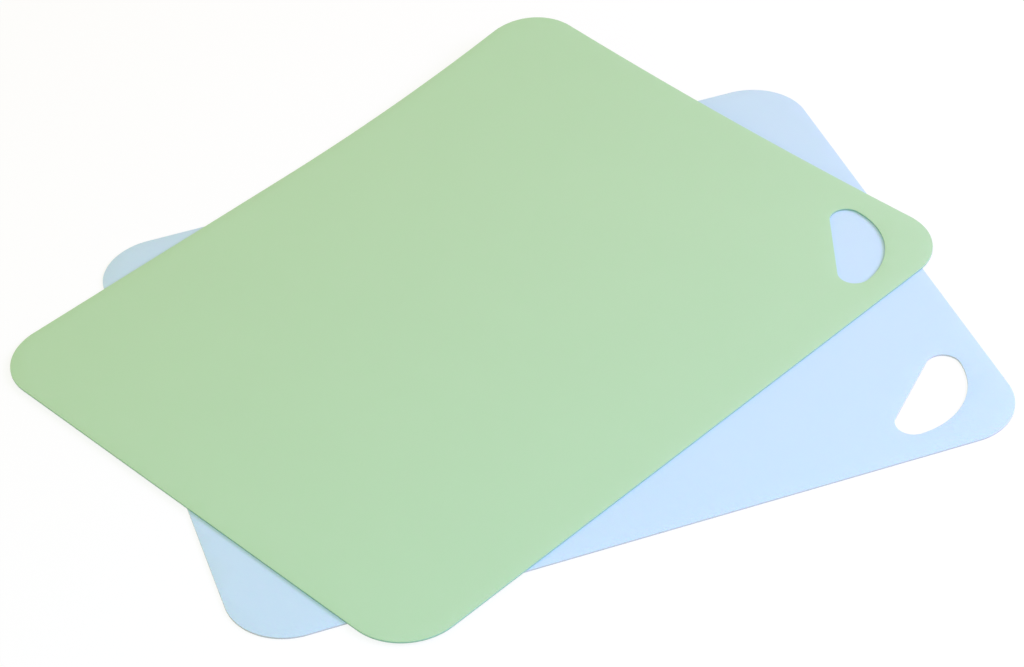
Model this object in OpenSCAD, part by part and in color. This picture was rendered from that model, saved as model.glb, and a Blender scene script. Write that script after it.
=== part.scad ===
// A pair of flexible cutting mats, one lying turned on the other.
// Each mat is one sheet of soft plastic with rounded corners, and has a
// D-shaped hand hole set square to the diagonal of one corner.
// Millimetres. The origin is the centre of the lower mat's underside. X runs
// along that mat's length, and its hand hole is in the corner at +X, -Y.

/* [Mats] */
// Length of each mat
mat_len = 360; // [300:5:420]
// Width of each mat
mat_wid = 280; // [220:5:320]
// Thickness of the sheet
mat_thk = 1; // [0.6:0.1:2]
// Radius of the four corners
corner_r = 28; // [12:1:45]

/* [Hand hole] */
// Web of sheet left between the rounded corner and the hole's bowed side
hole_web = 22.4; // [16:0.2:32]
// Length of the hole, from one round end to the other
hole_len = 56; // [46:1:72]
// Depth of the hole, from its bowed side to its straight side
hole_depth = 24; // [20:1:32]
// Radius of the hole's two ends
hole_end_r = 8; // [5:0.5:9]

/* [Curl of the upper mat] */
// Way that the curl runs, turned from the mat's length towards its width
curl_turn = 34; // [0:1:80]
// Flat stretch from the mat's middle to the start of the curl
curl_start = 82; // [60:1:120]
// Radius that the sheet's underside curls up in
curl_r = 800; // [500:10:2000]

/* [How the upper mat lies] */
// Its middle, along the lower mat's length
upper_x = -20; // [-40:1:20]
// Its middle, along the lower mat's width
upper_y = 33.5; // [0:0.5:50]
// Its turn, anticlockwise seen from above
upper_turn = 26; // [0:1:60]

/* [Colours] */
// Colour of the lower mat
lower_colour = "#C4DDF5"; // [#C4DDF5, #F2D9E0, #F5F0D8]
// Colour of the upper mat
upper_colour = "#B4DAB4"; // [#B4DAB4, #F0C9A8, #D8D8D8]

/* [Hidden] */
// Sides of the corners and the hole's arcs, and of the long curl's circle
$fn = 96;
curl_fn = 720;
// The hole's ends are centred this far either side of the corner's diagonal
end_offset = hole_len / 2 - hole_end_r;
// and this far in from the bowed side
end_depth = hole_depth - hole_end_r;
// The bowed side is the one arc that runs smoothly into both ends
bow_r = (pow(end_depth, 2) + pow(end_offset, 2) - pow(hole_end_r, 2))
        / (2 * (end_depth - hole_end_r));
// Distance from where the straight edges would meet to the hole's bowed side
hole_inset = hole_web + corner_r * (sqrt(2) - 1);
// Longer than any way across a mat
reach = mat_len + mat_wid;

// Plan of a mat's edge, centred on the mat
module mat_edge() {
    square([mat_len, mat_wid - 2 * corner_r], center = true);
    square([mat_len - 2 * corner_r, mat_wid], center = true);
    for (x = [-1, 1], y = [-1, 1])
        translate([x * (mat_len / 2 - corner_r), y * (mat_wid / 2 - corner_r)])
            circle(corner_r);
}

// Plan of the hand hole: the bowed side touches the Y axis at the origin,
// and the straight side lies across X at hole_depth
module hand_hole() {
    // The part that the bowed side closes, between the lines from the bow's
    // centre through the centres of the two ends
    far = 2 * bow_r / (bow_r - hole_end_r);
    intersection() {
        translate([bow_r, 0])
            circle(bow_r);
        polygon([
            [bow_r, 0],
            [bow_r - far * (bow_r - end_depth), far * end_offset],
            [bow_r - far * (bow_r - end_depth), -far * end_offset]
        ]);
        translate([-bow_r, -reach / 2])
            square([bow_r + hole_depth, reach]);
    }
    // The two round ends, and the straight side between them
    for (side = [-1, 1])
        translate([end_depth, side * end_offset])
            circle(hole_end_r);
    translate([end_depth, -end_offset])
        square([hole_end_r, 2 * end_offset]);
}

// Plan of a whole mat, its hole in the corner at +X, -Y
module mat_plan() {
    difference() {
        mat_edge();
        translate([mat_len / 2, -mat_wid / 2])
            rotate(135)
                translate([hole_inset, 0])
                    hand_hole();
    }
}

// Side view of the curled sheet, along the way that it curls: flat up to
// curl_start, and from there an arc that rises
module curl_profile() {
    translate([-reach, 0])
        square([reach + curl_start, mat_thk]);
    intersection() {
        translate([curl_start, curl_r])
            difference() {
                circle(curl_r, $fn = curl_fn);
                circle(curl_r - mat_thk, $fn = curl_fn);
            }
        translate([curl_start, -mat_thk])
            square([reach, curl_r]);
    }
}

// The curled sheet before it is cut to the mat's edge
module curled_sheet() {
    rotate([0, 0, curl_turn])
        translate([0, reach / 2, 0])
            rotate([90, 0, 0])
                linear_extrude(reach)
                    curl_profile();
}

module lower_mat() {
    color(lower_colour)
        linear_extrude(mat_thk)
            mat_plan();
}

module upper_mat() {
    color(upper_colour)
        translate([upper_x, upper_y, mat_thk])
            rotate([0, 0, upper_turn])
                intersection() {
                    translate([0, 0, -mat_thk])
                        linear_extrude(reach)
                            mat_plan();
                    curled_sheet();
                }
}

lower_mat();
upper_mat();
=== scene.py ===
# %% [markdown]
# # A pair of flexible cutting mats
# Two thin sheets of soft plastic lie on a white table. The pale green one is
# on top and turned, and the pale blue one is underneath. Each sheet has round
# corners and a D-shaped hand hole across one corner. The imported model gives
# the sizes and places, and this script gives the sheets their cut edges and
# their finish.

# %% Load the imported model
import math
import bmesh
import bpy
from mathutils import Matrix, Vector
from mathutils.geometry import delaunay_2d_cdt


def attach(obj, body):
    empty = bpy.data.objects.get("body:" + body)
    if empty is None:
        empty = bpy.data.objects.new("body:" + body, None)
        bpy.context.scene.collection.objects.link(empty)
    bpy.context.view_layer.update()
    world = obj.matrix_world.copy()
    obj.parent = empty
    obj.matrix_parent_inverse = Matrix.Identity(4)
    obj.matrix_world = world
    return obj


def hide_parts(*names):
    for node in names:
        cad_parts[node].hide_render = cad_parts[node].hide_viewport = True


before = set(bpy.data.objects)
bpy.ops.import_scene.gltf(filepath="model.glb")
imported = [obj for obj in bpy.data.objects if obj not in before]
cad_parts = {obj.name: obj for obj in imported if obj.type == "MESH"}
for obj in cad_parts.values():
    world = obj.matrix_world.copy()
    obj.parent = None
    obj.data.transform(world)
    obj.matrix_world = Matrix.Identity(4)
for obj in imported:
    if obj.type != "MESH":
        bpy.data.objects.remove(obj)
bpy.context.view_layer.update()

MM = 0.001

# %% [markdown]
# ## The sizes of a sheet
# Both mats are die-cut from the same plastic sheet, so they share one set of
# sizes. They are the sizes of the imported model, in millimetres: the sheet's
# length, width and thickness, its round corners, and the hand hole. The hole
# has one straight side, two round ends, and a bowed side that runs smoothly
# into both ends, so the bow's radius follows from the other sizes.

# %% Sheet and hand hole
LENGTH, WIDTH, THICK, CORNER = 360.0, 280.0, 1.0, 28.0
HOLE_WEB, HOLE_LENGTH, HOLE_DEPTH, HOLE_END = 22.4, 56.0, 24.0, 8.0

# The two ends' centres, from the corner's diagonal and from the bowed side
END_OFFSET = HOLE_LENGTH / 2 - HOLE_END
END_DEPTH = HOLE_DEPTH - HOLE_END
BOW = (END_DEPTH ** 2 + END_OFFSET ** 2 - HOLE_END ** 2) / (2 * (END_DEPTH - HOLE_END))
HOLE_INSET = HOLE_WEB + CORNER * (math.sqrt(2) - 1)
print(f"radius of the bowed side {BOW:.1f} mm, {HOLE_INSET:.1f} mm from the sharp corner")

# %% [markdown]
# ## How each sheet lies
# The lower mat lies flat. The upper mat lies turned on it, and one corner has
# kept some of the curl of the roll that the plastic came from. A Simple Deform
# modifier could bend it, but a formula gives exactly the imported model's bend.
# A sheet bends like paper, along straight lines only, so the curl is part of a
# wide cylinder: flat up to a line, and from there an arc that rises.

# %% Places and curl
LOWER = {"x": 0.0, "y": 0.0, "z": 0.0, "turn": 0.0, "curl": None}
UPPER = {
    "x": -20.0, "y": 33.5, "z": THICK, "turn": math.radians(26),
    "curl": {"turn": math.radians(34), "start": 82.0, "radius": 800.0},
}


def lay(place, x, y, height):
    """Takes a point of the flat sheet, at a height over its underside, to its place."""
    tilt, lift = 0.0, 0.0
    curl = place["curl"]
    ahead = (1.0, 0.0)
    if curl:
        ahead = (math.cos(curl["turn"]), math.sin(curl["turn"]))
        past = x * ahead[0] + y * ahead[1] - curl["start"]
        if past > 0:
            tilt = math.asin(past / curl["radius"])
            lift = curl["radius"] * (1 - math.cos(tilt))
    x -= height * math.sin(tilt) * ahead[0]
    y -= height * math.sin(tilt) * ahead[1]
    c, s = math.cos(place["turn"]), math.sin(place["turn"])
    return Vector((
        place["x"] + c * x - s * y,
        place["y"] + s * x + c * y,
        place["z"] + lift + height * math.cos(tilt),
    )) * MM


curled_corner = lay(UPPER, LENGTH / 2 - CORNER, WIDTH / 2 - CORNER, THICK)
print(f"height at the middle of the curled corner's round: {curled_corner.z / MM:.1f} mm")

# %% [markdown]
# ## The outline as arcs and lines
# A steel rule die cuts the outline in one stroke. Every stretch of it is a
# straight line or an arc, so it can be drawn at any distance inside the edge
# by changing the radii alone. A Bevel modifier could round the edge too, but
# it needs a clean loop of faces there, and these loops give the same number of
# points at every distance, so that they can be joined one below the other.

# %% Arcs and lines
def steps(angle, radius, longest):
    """How many steps an arc of so many degrees takes, none longer than longest."""
    return math.ceil(math.radians(angle) * radius / longest)


def arc(cx, cy, radius, start, end, count):
    """Evenly spaced points of an arc in degrees, without its last point."""
    for i in range(count):
        a = math.radians(start + (end - start) * i / count)
        yield (cx + radius * math.cos(a), cy + radius * math.sin(a))


def line(x0, y0, x1, y1, count):
    """Evenly spaced points of a line, without its last point."""
    for i in range(count):
        yield (x0 + (x1 - x0) * i / count, y0 + (y1 - y0) * i / count)


CORNER_STEP, EDGE_STEP = 1.2, 3.0
print("points on one round corner:", steps(90, CORNER, CORNER_STEP))

# %% [markdown]
# ## The sheet's edge and its hand hole
# The edge is four lines and four quarter circles. The hole is drawn where its
# bowed side touches the zero of its own axis, and is then turned to run in
# from the corner. An inset makes the edge smaller and the hole larger, so both
# loops step back into the sheet.

# %% Loops
def edge_loop(inset):
    """The sheet's edge, anticlockwise, drawn inside the real one by inset."""
    hx, hy = LENGTH / 2 - inset, WIDTH / 2 - inset
    cx, cy = LENGTH / 2 - CORNER, WIDTH / 2 - CORNER
    along, across = round(2 * cx / EDGE_STEP), round(2 * cy / EDGE_STEP)
    radius, count = CORNER - inset, steps(90, CORNER, CORNER_STEP)
    points = []
    points += line(-cx, -hy, cx, -hy, along)
    points += arc(cx, -cy, radius, -90, 0, count)
    points += line(hx, -cy, hx, cy, across)
    points += arc(cx, cy, radius, 0, 90, count)
    points += line(cx, hy, -cx, hy, along)
    points += arc(-cx, cy, radius, 90, 180, count)
    points += line(-hx, cy, -hx, -cy, across)
    points += arc(-cx, -cy, radius, 180, 270, count)
    return points


SIDE_STEP, END_STEP, BOW_STEP = 2.0, 0.6, 0.9


def hole_loop(inset):
    """The hand hole's edge, drawn inside the sheet by inset, so the hole grows."""
    lean = math.degrees(math.atan2(END_OFFSET, BOW - END_DEPTH))
    end, end_count = HOLE_END + inset, steps(180 - lean, HOLE_END, END_STEP)
    bow, bow_count = BOW + inset, steps(2 * lean, BOW, BOW_STEP)
    side, side_count = HOLE_DEPTH + inset, round(2 * END_OFFSET / SIDE_STEP)
    points = []
    points += line(side, -END_OFFSET, side, END_OFFSET, side_count)
    points += arc(END_DEPTH, END_OFFSET, end, 0, 180 - lean, end_count)
    points += arc(BOW, 0, bow, 180 - lean, 180 + lean, bow_count)
    points += arc(END_DEPTH, -END_OFFSET, end, 180 + lean, 360, end_count)
    # The hole's own axis runs in from the corner at 135 degrees
    c = math.sqrt(0.5)
    placed = []
    for x, y in points:
        x += HOLE_INSET
        placed.append((LENGTH / 2 - c * x - c * y, -WIDTH / 2 + c * x - c * y))
    return placed


print("points on the edge and the hole:", len(edge_loop(0)), len(hole_loop(0)))

# %% [markdown]
# ## The cut edge from the side
# The die presses the upper edge of the soft sheet slightly round before it
# cuts through, and leaves the lower edge crisp. So the profile comes in from
# the top over a small shoulder, goes down the cut wall, and ends in a tiny
# lower edge. Without the shoulder the edge would have no soft line of light.

# %% Edge profile
SHOULDER, SHOULDER_STEPS = 0.15, 4
LOWER_EDGE, LOWER_STEPS = 0.1, 2


def edge_profile():
    """Pairs of inset and height, from the top face down to the underside."""
    pairs = []
    for i in range(SHOULDER_STEPS + 1):
        a = math.pi / 2 * i / SHOULDER_STEPS
        pairs.append((SHOULDER * (1 - math.sin(a)), THICK - SHOULDER * (1 - math.cos(a))))
    for i in range(LOWER_STEPS + 1):
        a = math.pi / 2 * i / LOWER_STEPS
        pairs.append((LOWER_EDGE * (1 - math.cos(a)), LOWER_EDGE * (1 - math.sin(a))))
    return pairs


print("edge profile:", [(round(inset, 2), round(height, 2)) for inset, height in edge_profile()])

# %% [markdown]
# ## Even triangles across a face
# The face could be one polygon with hundreds of corners, but Blender would
# split that into long slivers, and the curl would show them as creases. So a
# staggered grid of points is laid between the two loops, and a Delaunay
# triangulation joins them into triangles that are nearly equal. It keeps the
# loops as they are, and the triangles outside the sheet are dropped.

# %% Triangles
GRID = 7.0
ROW_SHIFT = 0.25          # rows move this share of the grid, left and right in turn
CLEAR = 0.45 * GRID       # a grid point nearer a loop than this is left out
SAME_POINT = 1e-6


def is_inside(point, loop):
    """True where the point lies inside the loop."""
    x, y = point
    inside = False
    for (x0, y0), (x1, y1) in zip(loop, loop[1:] + loop[:1]):
        if (y0 > y) != (y1 > y) and x < x0 + (y - y0) * (x1 - x0) / (y1 - y0):
            inside = not inside
    return inside


def grid_points(outer, hole):
    """Staggered grid points on the sheet that keep clear of both loops."""
    columns, rows = int(LENGTH / GRID), int(WIDTH / GRID)
    for i in range(columns + 1):
        for j in range(rows + 1):
            x = (i - columns / 2 + (ROW_SHIFT if j % 2 else -ROW_SHIFT)) * GRID
            y = (j - rows / 2) * GRID
            if not is_inside((x, y), outer) or is_inside((x, y), hole):
                continue
            if min((x - p[0]) ** 2 + (y - p[1]) ** 2 for p in outer + hole) > CLEAR ** 2:
                yield (x, y)


def fill(outer, hole):
    """Even triangles between the two loops: points, loops first, and triangles."""
    points = [Vector(p) for p in outer + hole + list(grid_points(outer, hole))]
    n, m = len(outer), len(hole)
    edges = [(i, (i + 1) % n) for i in range(n)]
    edges += [(n + i, n + (i + 1) % m) for i in range(m)]
    verts, _, faces, _, _, _ = delaunay_2d_cdt(points, edges, [], 0, SAME_POINT)
    kept = []
    for face in faces:
        middle = sum((verts[i] for i in face), Vector((0, 0))) / len(face)
        if is_inside(middle, outer) and not is_inside(middle, hole):
            kept.append(tuple(face))
    return [tuple(v) for v in verts], kept


flat_points, flat_triangles = fill(edge_loop(SHOULDER), hole_loop(SHOULDER))
print("points and triangles of the top face:", len(flat_points), len(flat_triangles))

# %% [markdown]
# ## The mesh of a sheet
# A Solidify modifier would thicken a flat face, but with sharp square edges.
# Here the top face and the underside share one set of triangles, and rings of
# points between them follow the edge profile. Each ring is joined to the next
# by a band of four-sided faces, so the sheet is closed all round, inside the
# hand hole too. Every point is laid in its place by the curl formula.

# %% Sheets
FACE, WALL = 0, 1         # the material slots of a sheet


def sheet_faces(place):
    """Points, faces and material slots of one sheet, laid in its place."""
    profile = edge_profile()
    loops = [(edge_loop(inset), hole_loop(inset)) for inset, _ in profile]
    n, m = len(loops[0][0]), len(loops[0][1])

    # The top face, whose first points are its two loops
    verts = [lay(place, x, y, THICK) for x, y in flat_points]
    faces = list(flat_triangles)

    # The underside has the same triangles, with its loops nearer the edge
    base = len(verts)
    low_points = loops[-1][0] + loops[-1][1] + flat_points[n + m:]
    verts += [lay(place, x, y, 0.0) for x, y in low_points]
    faces += [tuple(base + i for i in reversed(t)) for t in flat_triangles]
    kinds = [FACE] * len(faces)

    # The rings between them, each known by the number of its first point
    starts = [0]
    for (_, height), (edge, hole) in list(zip(profile, loops))[1:-1]:
        starts.append(len(verts))
        verts += [lay(place, x, y, height) for x, y in edge + hole]
    starts.append(base)
    for band, (high, low) in enumerate(zip(starts, starts[1:])):
        kind = WALL if band >= SHOULDER_STEPS - 1 else FACE
        for first, count in ((0, n), (n, m)):
            for i in range(first, first + count):
                j = first + (i - first + 1) % count
                faces.append((high + i, low + i, low + j, high + j))
                kinds.append(kind)
    return verts, faces, kinds


def turn_faces_out(mesh):
    """Makes every face look outwards, and counts the edges that are left open."""
    bm = bmesh.new()
    bm.from_mesh(mesh)
    bmesh.ops.recalc_face_normals(bm, faces=bm.faces)
    open_edges = sum(1 for edge in bm.edges if not edge.is_manifold)
    bm.to_mesh(mesh)
    bm.free()
    return open_edges


def sheet(name, place):
    """One die-cut sheet as an object."""
    verts, faces, kinds = sheet_faces(place)
    mesh = bpy.data.meshes.new(name)
    mesh.from_pydata(verts, [], faces)
    mesh.polygons.foreach_set("material_index", kinds)
    mesh.polygons.foreach_set("use_smooth", [True] * len(faces))
    mesh.validate()
    obj = bpy.data.objects.new(name, mesh)
    bpy.context.scene.collection.objects.link(obj)
    print(name, "faces:", len(faces), "open edges:", turn_faces_out(mesh))
    return obj


lower_sheet = sheet("blue_polypropylene_sheet", LOWER)
upper_sheet = sheet("green_polypropylene_sheet", UPPER)

# %% [markdown]
# ## Colours and nodes
# Colours are written the way a picture shows them, as sRGB hex values, but
# Blender calculates with linear light. One function turns the first into the
# second. A second small function adds a node with its settings and links, so
# that each material below reads as a list of what it is made of.

# %% Colour and node helpers
def from_hex(code):
    """Linear colour with alpha from an sRGB hex value."""
    parts = [int(code[i:i + 2], 16) / 255 for i in (1, 3, 5)]
    linear = [p / 12.92 if p <= 0.04045 else ((p + 0.055) / 1.055) ** 2.4 for p in parts]
    return (*linear, 1.0)


def add(tree, kind, settings=None, inputs=None):
    """Adds a node; an input given as a socket is linked, any other is set."""
    node = tree.nodes.new(kind)
    for key, value in (settings or {}).items():
        setattr(node, key, value)
    for key, value in (inputs or {}).items():
        if isinstance(value, bpy.types.NodeSocket):
            tree.links.new(value, node.inputs[key])
        else:
            node.inputs[key].default_value = value
    return node


print("middle grey in linear light:", round(from_hex("#808080")[0], 3))

# %% [markdown]
# ## Extruded polypropylene sheet
# Mats like these are extruded polypropylene about a millimetre thick, pressed
# by a matt roller while it is warm. The roller leaves a very fine grain that
# spreads the highlight wide, so the face looks soft and dry and never shines.
# The pigment lets a little light into the plastic, and that light comes out
# again close by, which takes the hardness off the shade along the cut. The
# die-cut wall has no pressed grain, so it is a little smoother. A picture of
# real plastic could be laid on the mesh, but noise nodes need no image, and
# their scale can be worked out from the real size of the grain.

# %% Polypropylene
GRAIN_MM = 0.7            # the real grain is about 0.2 mm, drawn coarser to show
GRAIN_DEPTH_MM = 0.04     # and about as deep as a matt roller presses it
GRAIN_STRENGTH = 0.25
CLOUD_MM = 60.0           # slow change of pigment and thickness across the sheet
GLOW_SHARE = 0.4          # share of the light that goes into the plastic first
GLOW_MM = 0.3             # how far it travels there, times the reach by colour
GLOW_REACH = (0.7, 1.0, 0.8)
PLASTIC_IOR, PLASTIC_SHINE = 1.49, 0.4


def polypropylene(name, light, deep, roughness):
    """Pigmented sheet whose colour drifts slowly between two near shades."""
    material = bpy.data.materials.new(name)
    material.use_nodes = True
    tree = material.node_tree
    tree.nodes.clear()
    where = add(tree, "ShaderNodeTexCoord").outputs["Object"]
    clouds = add(tree, "ShaderNodeTexNoise", None,
                 {"Vector": where, "Scale": 1 / (CLOUD_MM * MM), "Detail": 3.0, "Roughness": 0.5})
    shade = add(tree, "ShaderNodeMix", {"data_type": "RGBA"},
                {"Factor": clouds.outputs["Fac"], "A": from_hex(light), "B": from_hex(deep)})
    grain = add(tree, "ShaderNodeTexNoise", None,
                {"Vector": where, "Scale": 1 / (GRAIN_MM * MM), "Detail": 2.0, "Roughness": 0.6})
    bump = add(tree, "ShaderNodeBump", None, {
        "Height": grain.outputs["Fac"], "Strength": GRAIN_STRENGTH,
        "Distance": GRAIN_DEPTH_MM * MM,
    })
    shader = add(tree, "ShaderNodeBsdfPrincipled", None, {
        "Base Color": shade.outputs["Result"], "Normal": bump.outputs["Normal"],
        "Roughness": roughness, "IOR": PLASTIC_IOR, "Specular IOR Level": PLASTIC_SHINE,
        "Subsurface Weight": GLOW_SHARE, "Subsurface Radius": GLOW_REACH,
        "Subsurface Scale": GLOW_MM * MM,
    })
    add(tree, "ShaderNodeOutputMaterial", None, {"Surface": shader.outputs["BSDF"]})
    print("made", name)
    return material


# %% [markdown]
# ## The two colours
# Each mat has one pigment. Its cut wall is given a deeper and greyer copy of
# the face colour, which is painted shade for the shade along the cut edge.
# The two shades of each material lie close together: a roller leaves the sheet
# almost even, and only a slow drift keeps it from looking printed.

# %% Faces and walls
MATT, CUT = 0.62, 0.5     # roughness of the pressed face and of the cut wall

blue_face = polypropylene("blue polypropylene, matt rolled face", "#C7DFED", "#C4DDEC", MATT)
# The blue wall colours are a greyer copy of the face colour: painted shade along the cut edge.
blue_wall_painted_shade = polypropylene("blue polypropylene, die-cut wall, painted shade", "#C6CCD4", "#C2C9D2", CUT)
green_face = polypropylene("green polypropylene, matt rolled face", "#B6D8AE", "#B4D6AC", MATT)
# The green wall colours are a deeper teal copy of the face colour: painted shade along the cut
# edge.
green_wall_painted_shade = polypropylene("green polypropylene, die-cut wall, painted shade", "#98C2AC", "#94BFA8", CUT)


def finish_sheet(obj, face, wall, node, body):
    """Gives a sheet its materials and ties it to its node and body."""
    obj.data.materials.append(face)
    obj.data.materials.append(wall)
    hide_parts(node)
    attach(obj, body)
    print(obj.name, "stands for", node, "and rides on", body)


finish_sheet(lower_sheet, blue_face, blue_wall_painted_shade, "lower_mat", "lower")
finish_sheet(upper_sheet, green_face, green_wall_painted_shade, "upper_mat", "upper")

# %% [markdown]
# ## White table
# The mats lie on a plain white surface that fades into a white background. A
# table lit up to pure white would need so much light that the mats would lose
# their colour. So the lamps stay low, and where the camera sees the table it
# adds a little light of its own, which reaches white and still leaves the
# mats' soft shadow. To the light that falls on the mats it is plain white
# paint.

# %% Table
TABLE_HALF, TABLE_DROP = 6.0, 0.02 * MM      # in metres; the drop keeps it off the underside
TABLE_PAINT = (0.9, 0.9, 0.9, 1.0)
WHITE = (1.0, 1.0, 1.0, 1.0)
TABLE_GLOW, TABLE_GLOW_SHARE = 1.03, 0.8


def seen_straight(tree):
    """One for what the camera sees, straight, in a gloss or through glass, else zero."""
    rays = add(tree, "ShaderNodeLightPath").outputs
    through = add(tree, "ShaderNodeMath", {"operation": "MAXIMUM"},
                  {0: rays["Is Glossy Ray"], 1: rays["Is Transmission Ray"]})
    seen = add(tree, "ShaderNodeMath", {"operation": "MAXIMUM"},
               {0: rays["Is Camera Ray"], 1: through.outputs[0]})
    return seen.outputs[0]


def table_paint():
    """White paint, which partly glows where it is seen."""
    material = bpy.data.materials.new("white table")
    material.use_nodes = True
    tree = material.node_tree
    tree.nodes.clear()
    paint = add(tree, "ShaderNodeBsdfDiffuse", None, {"Color": TABLE_PAINT})
    glow = add(tree, "ShaderNodeEmission", None, {"Color": WHITE, "Strength": TABLE_GLOW})
    share = add(tree, "ShaderNodeMath", {"operation": "MULTIPLY"},
                {0: seen_straight(tree), 1: TABLE_GLOW_SHARE})
    mix = add(tree, "ShaderNodeMixShader", None, {
        "Fac": share.outputs[0], 1: paint.outputs[0], 2: glow.outputs[0],
    })
    add(tree, "ShaderNodeOutputMaterial", None, {"Surface": mix.outputs[0]})
    return material


def white_table():
    """One wide square just under the lower mat."""
    mesh = bpy.data.meshes.new("table")
    signs = [(-1, -1), (1, -1), (1, 1), (-1, 1)]
    corners = [(sx * TABLE_HALF, sy * TABLE_HALF, -TABLE_DROP) for sx, sy in signs]
    mesh.from_pydata(corners, [], [(0, 1, 2, 3)])
    table = bpy.data.objects.new("table", mesh)
    bpy.context.scene.collection.objects.link(table)
    mesh.materials.append(table_paint())
    print("table is", 2 * TABLE_HALF, "m wide")


white_table()

# %% [markdown]
# ## White background
# The world does two jobs that are kept apart. Where it is seen, straight or in
# a gloss, it is pure white, as in a photo studio. To everything else it is the
# soft light of a room, warm and weaker, which fills the shade on every side of
# the mats. A ring of lamps could do the second job, but would cast more shadows.

# %% Background
ROOM_LIGHT, ROOM_TINT = 0.75, "#FFF8C3"


def white_background():
    """White where it is seen, and a soft warm light on everything else."""
    world = bpy.data.worlds.new("studio")
    world.use_nodes = True
    tree = world.node_tree
    tree.nodes.clear()
    light = add(tree, "ShaderNodeBackground", None,
                {"Color": from_hex(ROOM_TINT), "Strength": ROOM_LIGHT})
    white = add(tree, "ShaderNodeBackground", None, {"Color": WHITE, "Strength": 1.0})
    mix = add(tree, "ShaderNodeMixShader", None, {
        "Fac": seen_straight(tree), 1: light.outputs[0], 2: white.outputs[0],
    })
    add(tree, "ShaderNodeOutputWorld", None, {"Surface": mix.outputs[0]})
    bpy.context.scene.world = world
    print("room light", ROOM_LIGHT, "of white")


white_background()

# %% [markdown]
# ## Light
# The daylight comes from the right: the cut walls that face left and near are
# dark, and those that face right are pale. One wide lamp, like a window, does
# that. Its size makes the shadows soft. A second, much weaker lamp in front
# cools the shade along the near edges, as the sky in a second window would.

# %% Lamps
def soft_lamp(name, place, size, power, colour):
    """A square lamp that points at the middle of the lower mat."""
    data = bpy.data.lights.new(name, "AREA")
    data.shape = "SQUARE"
    data.size = size
    data.energy = power
    data.color = from_hex(colour)[:3]
    lamp = bpy.data.objects.new(name, data)
    lamp.location = place
    lamp.rotation_euler = (-Vector(place)).to_track_quat("-Z", "Y").to_euler()
    bpy.context.scene.collection.objects.link(lamp)
    print(name, f"is {Vector(place).length:.2f} m away")


soft_lamp("window", (1.220, -0.361, 0.795), 0.7, 18.9, "#C6B7FF")
soft_lamp("front fill", (-0.015, -0.5655, 0.5657), 0.5, 2.5, "#6FB8FF")

# %% [markdown]
# ## Camera
# The view was found by laying the outline of both sheets over the picture. It
# looks down at about 40 degrees through a long lens, slightly rolled. A Track
# To constraint would aim the camera but keep it level, so its three axes are
# worked out and put in its matrix.

# %% Camera
TARGET = Vector((-11.77, 7.28, 0.0)) * MM
DISTANCE, LENS, SENSOR = 1293.7 * MM, 98.98, 36.0
HEADING, ELEVATION, ROLL = (math.radians(a) for a in (16.485, 40.485, -4.217))
FARTHEST = 50.0           # metres; takes in the whole table


def photo_camera():
    """The camera at the photograph's viewing angle."""
    level = Vector((math.sin(HEADING), math.cos(HEADING), 0))
    ahead = level * math.cos(ELEVATION) - Vector((0, 0, math.sin(ELEVATION)))
    right = Vector((math.cos(HEADING), -math.sin(HEADING), 0))
    up = right.cross(ahead)
    c, s = math.cos(ROLL), math.sin(ROLL)
    right, up = c * right + s * up, c * up - s * right
    data = bpy.data.cameras.new("camera")
    data.lens = LENS
    data.sensor_width = SENSOR
    data.clip_end = FARTHEST
    camera = bpy.data.objects.new("camera", data)
    turn = Matrix((right, up, -ahead)).transposed()
    camera.matrix_world = Matrix.Translation(TARGET - ahead * DISTANCE) @ turn.to_4x4()
    bpy.context.scene.collection.objects.link(camera)
    bpy.context.scene.camera = camera
    print("camera is", round(camera.matrix_world.translation.z, 3), "m above the table")


photo_camera()
bpy.context.scene.view_settings.view_transform = "Standard"
